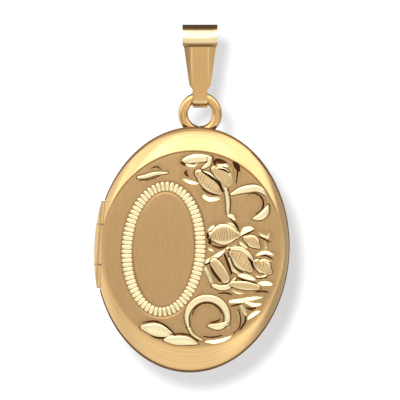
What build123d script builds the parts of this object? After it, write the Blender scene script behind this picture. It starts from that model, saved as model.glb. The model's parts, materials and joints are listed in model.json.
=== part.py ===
"""Oval hinged locket hanging from a folded chain bail, in millimetres.

Frame: the origin is the centre of the chain passage at the top of the bail. +Z runs up the hanging
bail, +X is to the right of someone who faces the engraved front, and -Y points out of that front.
The case hangs from a ring soldered to its back half and leans a little about that ring.
Each half is a pressed shell with a soldered rim, which seats a picture card, a clear window and
a snap-in frame.
"""

import os
from math import asin, cos, radians, sin

from build123d import *

os.makedirs("parts", exist_ok=True)

# ---------------------------------------------------------------- driving dimensions
# case: an oval pillow of two halves, meeting at the parting plane
case_width = 15.8
case_height = 20.0
wall = 0.3
seam = 0.06  # gap between the closed halves
band_height = 0.5  # straight edge of each half
shoulder_rise = 1.15  # bevelled shoulder, from the band to the table
shoulder_side = 0.44  # the shoulder's width in plan at the case's sides, outside the engraved table
shoulder_end = 1.9  # and at its top and bottom
crown_rise = 0.45  # how far the table would bulge if it came to a point
front_crown_flat = 0.3  # share of the table that is flat at the crown
back_crown_flat = 0.6

# picture seat inside each half
hinge_backing = 0.19  # metal left between the knuckles' room and the opening
opening_end = 1.7  # from the opening to the case's outline at top and bottom
rim_body = 0.65  # radial width of the rim's deep part
ledge_width = 0.45
ledge_thickness = 0.2
card_thickness = 0.13
window_thickness = 0.15
frame_thickness = 0.25
frame_recess = 0.12  # frame's face below the parting plane
frame_width = 0.55
frame_chamfer = 0.12
seat_play = 0.03  # radial play of card, window and frame in the opening

# snap bezel: a thin upstand on the back rim that the front rim grips
bezel_offset = 0.3  # from the opening to the bezel's inner face
bezel_wall = 0.2
bezel_root = 0.25  # depth let into the back rim
bezel_height = 0.3  # stands this far past the back rim's face
bezel_play = 0.06
bezel_clear = 2.0  # the bezel stops this far inboard of the pin's axis, so that the cover swings free

# hinge, let into the left edge
hinge_inset = 0.5  # from the oval's left edge to the pin's axis
knuckle_radius = 0.6
hinge_length = 7.1
middle_knuckle = 3.18
knuckle_gap = 0.09
hinge_play = 0.06
pin_radius = 0.2
pin_play = 0.03
pin_length = 6.0
bearer_width = 0.6  # solid wall of each rim that closes the notch behind the knuckles
notch_lip = 0.1  # the halves stop this far inboard of the pin's axis
filed_proud = 0.1  # knuckles stand this far out of the oval at mid height
filed_stretch = 1.2  # the flatter oval that they are filed to passes this far outside the case's ends

# thumbnail slot in the front half, opposite the hinge
slot_depth = 0.18
slot_height = 0.25
slot_radius = 4.0

# ring soldered into the top of the back half
ring_inner_radius = 0.98
wire_radius = 0.4
ring_clear = 0.04  # from the wire to the parting plane
ring_stand = 1.06  # ring's centre above the case's outline
top_flat = 0.33  # filed off the front half's top edge to show the ring's root

# bail: a strip folded round the chain passage and the ring
chain_radius = 1.05
eye_play = 0.25  # from the ring's wire to the bail's eye
strip = 0.28
bail_reach = 4.58  # chain passage to ring eye, centre to centre
bail_width = 2.86
leaf_width = 2.62  # just below the top band
neck_width = 1.84
eye_width = 1.22
top_band = 0.36  # top band's lower edge below the chain passage
neck_rise = 0.95  # neck's top above the eye
neck_slope = 0.3
flat_width = 1.36  # flat facet along each leaf
facet_depth = 0.15

locket_lean = 3.2  # degrees that the case leans about the ring

# ---------------------------------------------------------------- derived places
FRONT, BACK = 1, -1
case_a, case_b = case_width / 2, case_height / 2
table_a, table_b = case_a - shoulder_side, case_b - shoulder_end
opening_side = hinge_inset + knuckle_radius + hinge_play + hinge_backing
opening_a, opening_b = case_a - opening_side, case_b - opening_end
half_seam = seam / 2
ring_radius = ring_inner_radius + wire_radius
ring_height = case_b + ring_stand
eye_radius = wire_radius + eye_play
frame_top = frame_recess + frame_thickness
window_top = frame_top + window_thickness
ledge_top = window_top + card_thickness
rim_depth = ledge_top + ledge_thickness
bezel_top = bezel_height - half_seam  # above the parting plane, towards the front
middle_end = middle_knuckle / 2
outer_start = middle_end + knuckle_gap
hinge_end = hinge_length / 2

lean = radians(locket_lean)
case_right = Vector(cos(lean), 0, -sin(lean))
case_up = Vector(sin(lean), 0, cos(lean))
ring_centre = Vector(0, 0, -bail_reach - ring_radius)
case_centre = ring_centre - case_up * ring_height - Vector(0, half_seam + ring_clear + wire_radius, 0)
face = Plane(origin=case_centre, x_dir=case_right, z_dir=(0, -1, 0))  # parting plane, seen from the front
ring_plane = Plane(origin=ring_centre, x_dir=case_right, z_dir=(0, -1, 0))
hinge_x = hinge_inset - case_a


def hinge_section(height: float) -> Plane:
    """Plane across the hinge pin, at a height above the case's centre."""
    return Plane(origin=face.from_local_coords((hinge_x, height, 0)), x_dir=case_right, z_dir=case_up)


def finish(part: Part, name: str) -> None:
    """Labels a finished piece and writes its file."""
    part.label = name
    export_step(part, f"parts/{name}.step")


# ---------------------------------------------------------------- the case's pillow form
def case_form(side: int, inset: float, crown_flat: float) -> Part:
    """One half's solid pillow, shrunk by inset: straight band, bevelled shoulder, flat-topped crown."""
    rise = shoulder_rise - inset
    with BuildPart() as form:
        with BuildSketch(face.offset(side * half_seam)):
            Ellipse(case_a - inset, case_b - inset)
        extrude(amount=side * (band_height - half_seam))
        for step in (0, 0.35, 0.7, 1):
            height = band_height + rise * (1.4 * step - 0.4 * step**2)
            with BuildSketch(face.offset(side * height)):
                Ellipse(
                    case_a - inset - (case_a - table_a) * step,
                    case_b - inset - (case_b - table_b) * step,
                )
        loft()
        for step in (0, 0.35, 0.7, 1):
            share = 1 - (1 - crown_flat) * step
            with BuildSketch(face.offset(side * (band_height + rise + crown_rise * (1 - share**2)))):
                Ellipse((table_a - inset) * share, (table_b - inset) * share)
        loft()
    return form.part


def barrel(low: float, high: float, radius: float) -> Part:
    """Solid round bar on the hinge axis between two heights."""
    with BuildPart() as bar:
        with BuildSketch(hinge_section(low)):
            Circle(radius)
        extrude(amount=high - low)
    return bar.part


def hinge_room(side: int) -> Part:
    """What one half gives up: the notch, its own knuckles' seats and room for the other half's."""
    if side == FRONT:
        split, end = middle_end, hinge_end + knuckle_gap
        middle, outer = knuckle_radius, knuckle_radius + hinge_play
    else:
        split, end = outer_start, hinge_end
        middle, outer = knuckle_radius + hinge_play, knuckle_radius
    with BuildPart() as room:
        with BuildSketch(face):
            with Locations((hinge_x + notch_lip, 0)):
                Rectangle(case_a, 2 * (hinge_end + knuckle_gap), align=(Align.MAX, Align.CENTER))
        extrude(amount=side * (band_height + shoulder_rise + crown_rise))
        add(barrel(-split, split, middle))
        add(barrel(split, end, outer))
        add(barrel(-end, -split, outer))
    return room.part


# ---------------------------------------------------------------- ring and bail
with BuildPart(ring_plane) as hanging_ring:
    Torus(ring_radius, wire_radius)
finish(hanging_ring.part, "hanging_ring")

leaf_tilt = asin((chain_radius - eye_radius) / bail_reach)
with BuildPart() as bail:
    with BuildSketch(Plane.YZ):
        for thickness, mode in ((strip, Mode.ADD), (0, Mode.SUBTRACT)):
            with BuildSketch(Plane.YZ, mode=mode):
                Circle(chain_radius + thickness)
                with Locations((0, -bail_reach)):
                    Circle(eye_radius + thickness)
                make_hull()
    extrude(amount=bail_width, both=True)
    with BuildSketch(Plane.XZ) as front_shape:
        top = chain_radius + strip
        band_low = -top_band
        neck_top = neck_rise - bail_reach
        foot = -bail_reach - eye_radius - strip
        with BuildLine():
            half_outline = Polyline(
                (0, 2 * top),
                (bail_width / 2, 2 * top),
                (bail_width / 2, band_low),
                (leaf_width / 2, band_low - (bail_width - leaf_width) / 2),
                (neck_width / 2, neck_top),
                (eye_width / 2, neck_top - neck_slope),
                (eye_width / 2, 2 * foot),
                (0, 2 * foot),
            )
            mirror(half_outline, about=Plane.YZ)
        make_face()
    extrude(amount=2 * top, both=True, mode=Mode.INTERSECT)
    # side facets of both leaves, from the top band down to the neck
    for way in (-1, 1):
        outward = Vector(0, way * cos(leaf_tilt), -sin(leaf_tilt))
        down = Vector(0, -way * sin(leaf_tilt), -cos(leaf_tilt))
        start = outward * (chain_radius + strip) + down * (top_band + strip / 2)
        leaf = Plane(origin=start, x_dir=(1, 0, 0), z_dir=down)
        inward = -1 if leaf.y_dir.dot(outward) > 0 else 1
        edge_depth = facet_depth * (2 * bail_width - flat_width) / (leaf_width - flat_width)
        with BuildSketch(leaf):
            with BuildLine():
                facet = Polyline(
                    (flat_width / 2, 0),
                    (bail_width, 0),
                    (bail_width, inward * edge_depth),
                    close=True,
                )
            make_face()
            mirror(about=Plane.YZ)
        extrude(amount=bail_reach, mode=Mode.SUBTRACT)
finish(bail.part, "bail")

# ---------------------------------------------------------------- shells
with BuildPart() as back_shell:
    add(case_form(BACK, 0, back_crown_flat))
    add(case_form(BACK, wall, back_crown_flat), mode=Mode.SUBTRACT)
    add(hinge_room(BACK), mode=Mode.SUBTRACT)
    add(hanging_ring.part, mode=Mode.SUBTRACT)
finish(back_shell.part, "back_shell")

with BuildPart() as front_shell:
    add(case_form(FRONT, 0, front_crown_flat))
    add(case_form(FRONT, wall, front_crown_flat), mode=Mode.SUBTRACT)
    add(hinge_room(FRONT), mode=Mode.SUBTRACT)
    with BuildSketch(face):
        with Locations((0, case_b - top_flat)):
            Rectangle(case_width, case_height, align=(Align.CENTER, Align.MIN))
        with Locations((case_a - slot_depth + slot_radius, 0)):
            Circle(slot_radius)
    extrude(amount=half_seam + slot_height, mode=Mode.SUBTRACT)
finish(front_shell.part, "front_shell")

# ---------------------------------------------------------------- snap bezel and rims
def bezel_band(low: float, high: float, play: float) -> Part:
    """Oval band round the opening that stops short of the hinge, grown by play."""
    inner, outer = bezel_offset - play, bezel_offset + bezel_wall + play
    with BuildPart() as band:
        with BuildSketch(face.offset(low)):
            Ellipse(opening_a + outer, opening_b + outer)
            Ellipse(opening_a + inner, opening_b + inner, mode=Mode.SUBTRACT)
            with Locations((hinge_x + bezel_clear - play, 0)):
                Rectangle(case_width, case_height, align=(Align.MIN, Align.CENTER), mode=Mode.INTERSECT)
        extrude(amount=high - low)
    return band.part


def rim_form(side: int, crown_flat: float) -> Part:
    """One half's rim before its hinge is cut: flange, seat round the opening, wall behind the knuckles."""
    start = face.offset(side * half_seam)
    with BuildPart() as form:
        with BuildSketch(start):
            Ellipse(case_a, case_b)
        extrude(amount=side * (band_height - half_seam))
        with BuildSketch(start):
            Ellipse(opening_a + rim_body, opening_b + rim_body)
        extrude(amount=side * (rim_depth - half_seam))
        with BuildSketch(start):
            with Locations((hinge_x + notch_lip, 0)):
                Rectangle(bearer_width, 2 * (hinge_end + knuckle_gap), align=(Align.MIN, Align.CENTER))
        extrude(amount=side * (band_height + shoulder_rise + crown_rise))
        add(case_form(side, wall, crown_flat), mode=Mode.INTERSECT)
        with BuildSketch(start):
            Ellipse(opening_a, opening_b)
        extrude(amount=side * (ledge_top - half_seam), mode=Mode.SUBTRACT)
        with BuildSketch(start):
            Ellipse(opening_a - ledge_width, opening_b - ledge_width)
        extrude(amount=side * rim_depth, mode=Mode.SUBTRACT)
        add(hinge_room(side), mode=Mode.SUBTRACT)
    return form.part


with BuildPart() as snap_bezel:
    add(bezel_band(-half_seam - bezel_root, bezel_top, 0))
finish(snap_bezel.part, "snap_bezel")

with BuildPart() as back_rim:
    add(rim_form(BACK, back_crown_flat))
    add(snap_bezel.part, mode=Mode.SUBTRACT)
    add(hanging_ring.part, mode=Mode.SUBTRACT)
finish(back_rim.part, "back_rim")

with BuildPart() as front_rim:
    add(rim_form(FRONT, front_crown_flat))
    add(bezel_band(0, bezel_top + bezel_play, bezel_play), mode=Mode.SUBTRACT)
    with BuildSketch(face):
        with Locations((0, case_b - top_flat)):
            Rectangle(case_width, case_height, align=(Align.CENTER, Align.MIN))
    extrude(amount=half_seam + slot_height, mode=Mode.SUBTRACT)
finish(front_rim.part, "front_rim")


# ---------------------------------------------------------------- hinge
with BuildPart() as filed_oval:
    with BuildSketch(face):
        Ellipse(case_a + filed_proud, case_b + filed_stretch)
    extrude(amount=2 * knuckle_radius, both=True)

with BuildPart() as hinge_pin:
    add(barrel(-pin_length / 2, pin_length / 2, pin_radius))
finish(hinge_pin.part, "hinge_pin")

with BuildPart() as back_knuckles:
    add(barrel(-hinge_end, -outer_start, knuckle_radius))
    add(barrel(outer_start, hinge_end, knuckle_radius))
    add(filed_oval.part, mode=Mode.INTERSECT)
    add(hinge_pin.part, mode=Mode.SUBTRACT)
finish(back_knuckles.part, "back_knuckles")

with BuildPart() as front_knuckle:
    add(barrel(-middle_end, middle_end, knuckle_radius))
    add(filed_oval.part, mode=Mode.INTERSECT)
    add(barrel(-middle_knuckle, middle_knuckle, pin_radius + pin_play), mode=Mode.SUBTRACT)
finish(front_knuckle.part, "front_knuckle")


# ---------------------------------------------------------------- picture, window and frame of each half
def oval_sheet(side: int, depth: float, thickness: float) -> Part:
    """Oval sheet that fills the opening, with its inner face at a depth from the parting plane."""
    with BuildPart() as sheet:
        with BuildSketch(face.offset(side * depth)):
            Ellipse(opening_a - seat_play, opening_b - seat_play)
        extrude(amount=-side * thickness)
    return sheet.part


for side, half in ((FRONT, "front"), (BACK, "back")):
    with BuildPart() as picture:
        add(oval_sheet(side, ledge_top, card_thickness))
    finish(picture.part, f"{half}_picture")

    with BuildPart() as window:
        add(oval_sheet(side, window_top, window_thickness))
    finish(window.part, f"{half}_window")

    with BuildPart() as frame:
        add(oval_sheet(side, frame_top, frame_thickness))
        with BuildSketch(face.offset(side * frame_top)):
            Ellipse(opening_a - frame_width, opening_b - frame_width)
        extrude(amount=-side * frame_thickness, mode=Mode.SUBTRACT)
        shown_face = frame.faces().filter_by(Axis.Y).sort_by(Axis.Y)[-1 if side == FRONT else 0]
        inner_edge = shown_face.edges().sort_by(SortBy.LENGTH)[0]
        chamfer(inner_edge, frame_chamfer)
    finish(frame.part, f"{half}_picture_frame")
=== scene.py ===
"""Looks of an oval hinged locket: engraved satin front, fluted cartouche, polished back, ring and bail.

Meshes are shaped in millimetres on the case's own axes (x to the right, y up, z out of the half's face)
and are then laid into the frame in metres, where every finished object stands at the origin.
"""

import json
import logging
from collections.abc import Callable, Iterable
from dataclasses import dataclass, field
from enum import Enum, IntEnum
from math import asin, cos, degrees, hypot, pi, radians, sin, tau
from typing import ClassVar

import bmesh
import bpy
import numpy as np
from mathutils import Matrix, Vector


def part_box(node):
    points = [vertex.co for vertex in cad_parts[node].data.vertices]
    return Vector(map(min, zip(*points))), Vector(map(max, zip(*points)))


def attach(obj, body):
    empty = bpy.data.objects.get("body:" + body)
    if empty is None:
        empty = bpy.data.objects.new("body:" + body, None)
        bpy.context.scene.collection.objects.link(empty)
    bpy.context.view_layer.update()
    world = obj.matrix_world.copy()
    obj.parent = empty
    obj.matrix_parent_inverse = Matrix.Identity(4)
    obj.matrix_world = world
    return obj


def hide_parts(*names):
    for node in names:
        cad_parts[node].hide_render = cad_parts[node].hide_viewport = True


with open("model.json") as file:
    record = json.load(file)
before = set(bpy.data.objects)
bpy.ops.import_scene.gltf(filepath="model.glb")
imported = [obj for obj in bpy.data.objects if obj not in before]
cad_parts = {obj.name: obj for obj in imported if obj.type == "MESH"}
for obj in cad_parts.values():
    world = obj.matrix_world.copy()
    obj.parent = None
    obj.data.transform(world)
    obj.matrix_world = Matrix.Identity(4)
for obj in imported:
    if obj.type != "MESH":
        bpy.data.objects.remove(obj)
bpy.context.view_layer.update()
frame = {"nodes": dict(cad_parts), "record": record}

log = logging.getLogger("locket")
MM = 0.001
Points = tuple[tuple[float, float], ...]


class Tone(IntEnum):
    """Channels of the 'tone' attribute that a worked surface carries: painted highlight, painted shade and
    satin share.
    """

    BRIGHT = 0
    DARK = 1
    SATIN = 2


# ---------------------------------------------------------------- places and mesh helpers
@dataclass(frozen=True)
class Axes:
    """A place and three directions in the frame, in metres, for meshes drawn in millimetres."""

    centre: Vector
    right: Vector
    up: Vector
    front: Vector

    def matrix(self) -> Matrix:
        """Matrix that takes a point in millimetres on these axes into the frame.

        Returns:
            The matrix, with millimetres turned into metres.
        """
        turn = Matrix((self.right, self.up, self.front)).transposed().to_4x4()
        return Matrix.Translation(self.centre) @ turn @ Matrix.Scale(MM, 4)

    def mirrored(self) -> Matrix:
        """The same matrix with its depth turned round, for the half behind the parting plane.

        Returns:
            The mirrored matrix.
        """
        return self.matrix() @ Matrix.Scale(-1, 4, (0, 0, 1))


def joint(name: str) -> dict:
    """The record's entry for one joint.

    Args:
        name: The joint's name.

    Returns:
        The joint's entry.
    """
    return next(entry for entry in frame["record"]["behaviour"]["joints"] if entry["name"] == name)


def piece_from(bm: bmesh.types.BMesh, name: str, place: Matrix, sharp: float = 32.0) -> bpy.types.Object:
    """Closes a bmesh into an object that stands at the origin, with its place in its mesh.

    Args:
        bm: The shape in millimetres, which is freed.
        name: The piece's name.
        place: Takes the shape into the frame.
        sharp: Edges that turn by more than this, in degrees, are shaded sharp.

    Returns:
        The new object.
    """
    bmesh.ops.transform(bm, matrix=place, verts=bm.verts)
    if place.determinant() < 0:
        bmesh.ops.reverse_faces(bm, faces=bm.faces)
    for face in bm.faces:
        face.smooth = True
    for edge in bm.edges:
        edge.smooth = len(edge.link_faces) == 2 and edge.calc_face_angle(0) < radians(sharp)
    mesh = bpy.data.meshes.new(name)
    bm.to_mesh(mesh)
    bm.free()
    obj = bpy.data.objects.new(name, mesh)
    bpy.context.scene.collection.objects.link(obj)
    return obj


def settle(piece: bpy.types.Object, material: bpy.types.Material, body: str, slot: str, *nodes: str) -> None:
    """Dresses a piece, ties it to its body and hides the CAD nodes it stands for.

    Args:
        piece: The finished piece.
        material: Its finish.
        body: The body it rides on.
        slot: The record's material slot; not used.
        nodes: The CAD nodes it replaces.
    """
    piece.data.materials.append(material)
    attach(piece, body)
    if nodes:
        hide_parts(*nodes)
    triangles = sum(len(face.vertices) - 2 for face in piece.data.polygons)
    log.info("%s: %d triangles on %s", piece.name, triangles, body)


def grow_ring(
    bm: bmesh.types.BMesh, ring: list[bmesh.types.BMVert], move: Callable[[int, Vector], Vector]
) -> list[bmesh.types.BMVert]:
    """Extrudes a closed ring of vertices once and moves the new ring.

    Args:
        bm: The mesh.
        ring: Its open ring, in order.
        move: Gives each new vertex its place from its number and its old place.

    Returns:
        The new ring, in the same order.
    """
    members = set(ring)
    edges = list(dict.fromkeys(
        edge for vert in ring for edge in vert.link_edges if edge.other_vert(vert) in members
    ))
    edges = [edge for edge in edges if len(edge.link_faces) < 2]
    made = bmesh.ops.extrude_edge_only(bm, edges=edges)["geom"]
    fresh = {item for item in made if isinstance(item, bmesh.types.BMVert)}
    grown = []
    for number, vert in enumerate(ring):
        twin = next(edge.other_vert(vert) for edge in vert.link_edges if edge.other_vert(vert) in fresh)
        twin.co = move(number, vert.co.copy())
        grown.append(twin)
    return grown


def boxed(low: tuple[float, float, float], high: tuple[float, float, float]) -> bmesh.types.BMesh:
    """Box between two corners.

    Args:
        low: Its lowest corner in millimetres.
        high: Its highest corner in millimetres.

    Returns:
        The box.
    """
    bm = bmesh.new()
    bmesh.ops.create_cube(bm, size=1)
    size = Vector(high) - Vector(low)
    bmesh.ops.scale(bm, vec=size, verts=bm.verts)
    bmesh.ops.translate(bm, vec=Vector(low) + size / 2, verts=bm.verts)
    return bm


def bar(radius: float, low: float, high: float, x: float, steps: int = 48) -> bmesh.types.BMesh:
    """Round bar that lies along y.

    Args:
        radius: Its radius in millimetres.
        low: Height of its lower end.
        high: Height of its upper end.
        x: Place of its axis.
        steps: Sides of its section.

    Returns:
        The bar.
    """
    bm = bmesh.new()
    bmesh.ops.create_cone(
        bm, cap_ends=True, segments=steps, radius1=radius, radius2=radius, depth=high - low,
        matrix=Matrix.Translation((x, (low + high) / 2, 0)) @ Matrix.Rotation(pi / 2, 4, "X"),
    )
    return bm


def carve(bm: bmesh.types.BMesh, cutters: Iterable[bmesh.types.BMesh]) -> bmesh.types.BMesh:
    """Takes cutters away from a closed bmesh with exact booleans.

    Args:
        bm: The shape, which is freed.
        cutters: The shapes to take away, which are freed.

    Returns:
        What is left.
    """
    scene = bpy.context.scene.collection
    mesh = bpy.data.meshes.new("carved")
    bm.to_mesh(mesh)
    bm.free()
    work = bpy.data.objects.new("carved", mesh)
    scene.objects.link(work)
    tools = []
    for cutter in cutters:
        tool_mesh = bpy.data.meshes.new("cutter")
        cutter.to_mesh(tool_mesh)
        cutter.free()
        tool = bpy.data.objects.new("cutter", tool_mesh)
        scene.objects.link(tool)
        boolean = work.modifiers.new("cut", "BOOLEAN")
        boolean.operation, boolean.solver, boolean.object = "DIFFERENCE", "EXACT", tool
        tools.append(tool)
    result = bmesh.new()
    result.from_object(work, bpy.context.evaluated_depsgraph_get())
    for item in (work, *tools):
        spent = item.data
        bpy.data.objects.remove(item)
        bpy.data.meshes.remove(spent)
    return result


# ---------------------------------------------------------------- engraving
class Cut(Enum):
    """Ways in which the graver works the satin face; each also paints highlight and shade into the tone
    attribute.
    """

    PETAL = "domed, with an outline cut round it"
    HATCHED = "domed, outlined and crossed by fine hatching"
    # A raised band with a painted highlight, and painted shade along its lower side.
    RIM = "narrow raised band, burnished bright"
    # A slanting cut with a painted highlight, and painted shade on its steep wall.
    BRIGHT = "slanting bright cut"
    # A groove filled with painted shade.
    LINE = "dark narrow groove"


@dataclass(frozen=True)
class Stroke:
    """One stroke of the graver: a spine with a half-width at its start, middle and end, in millimetres."""

    cut: Cut
    spine: Points
    widths: tuple[float, float, float]
    samples: ClassVar[int] = 6
    narrowest: ClassVar[float] = 0.02

    def path(self) -> np.ndarray:
        """Smooth curve through the spine's points, with a row for each sample.

        Returns:
            Positions along the curve.
        """
        points = np.array(self.spine, float)
        if len(points) == 2:
            points = np.array([points[0], points.mean(axis=0), points[1]])
        padded = np.vstack([2 * points[0] - points[1], points, 2 * points[-1] - points[-2]])
        share = np.linspace(0, 1, self.samples + 1)[:-1, None]
        rows = []
        for before, start, end, after in zip(padded, padded[1:], padded[2:], padded[3:]):
            rows.append(
                0.5
                * (
                    2 * start
                    + (end - before) * share
                    + (2 * before - 5 * start + 4 * end - after) * share**2
                    + (3 * start - before - 3 * end + after) * share**3
                )
            )
        return np.vstack([*rows, points[-1:]])

    def half_width(self, along: np.ndarray) -> np.ndarray:
        """Half-width at shares of the way along the spine.

        Args:
            along: Shares of the way, from 0 to 1.

        Returns:
            The half-width at each share.
        """
        first, middle, last = self.widths
        curve = first * (1 - along) * (1 - 2 * along) + 4 * middle * along * (1 - along)
        return np.maximum(curve + last * along * (2 * along - 1), self.narrowest)

    def measure(self, spots: np.ndarray) -> tuple[np.ndarray, np.ndarray, np.ndarray]:
        """Where spots lie on this stroke.

        Args:
            spots: Positions on the case's face, one row each.

        Returns:
            Signed distance from the spine over the half-width, distance along it, and the half-width.
        """
        path = self.path()
        steps = np.diff(path, axis=0)
        lengths = np.hypot(steps[:, 0], steps[:, 1]) + 1e-9
        starts = np.concatenate([[0.0], np.cumsum(lengths)[:-1]])
        best = np.full(len(spots), np.inf)
        side = np.zeros(len(spots))
        along = np.zeros(len(spots))
        for origin, step, length, start in zip(path, steps, lengths, starts):
            offset = spots - origin
            share = np.clip(offset @ step / length**2, 0, 1)
            gap = offset - share[:, None] * step
            distance = np.hypot(gap[:, 0], gap[:, 1])
            nearer = distance < best
            best[nearer] = distance[nearer]
            along[nearer] = (start + share * length)[nearer]
            side[nearer] = np.sign(step[0] * offset[:, 1] - step[1] * offset[:, 0])[nearer]
        width = self.half_width(along / lengths.sum())
        return side * best / width, along, width


def arc(centre: tuple[float, float], radius: float, start: float, end: float, count: int = 6) -> Points:
    """Spine along a round arc.

    Args:
        centre: The arc's centre in millimetres.
        radius: Its radius in millimetres.
        start: The angle it starts at, in degrees.
        end: The angle it ends at, in degrees.
        count: How many points it has.

    Returns:
        The points.
    """
    angles = [radians(start + (end - start) * step / (count - 1)) for step in range(count)]
    return tuple((centre[0] + radius * cos(angle), centre[1] + radius * sin(angle)) for angle in angles)


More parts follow.
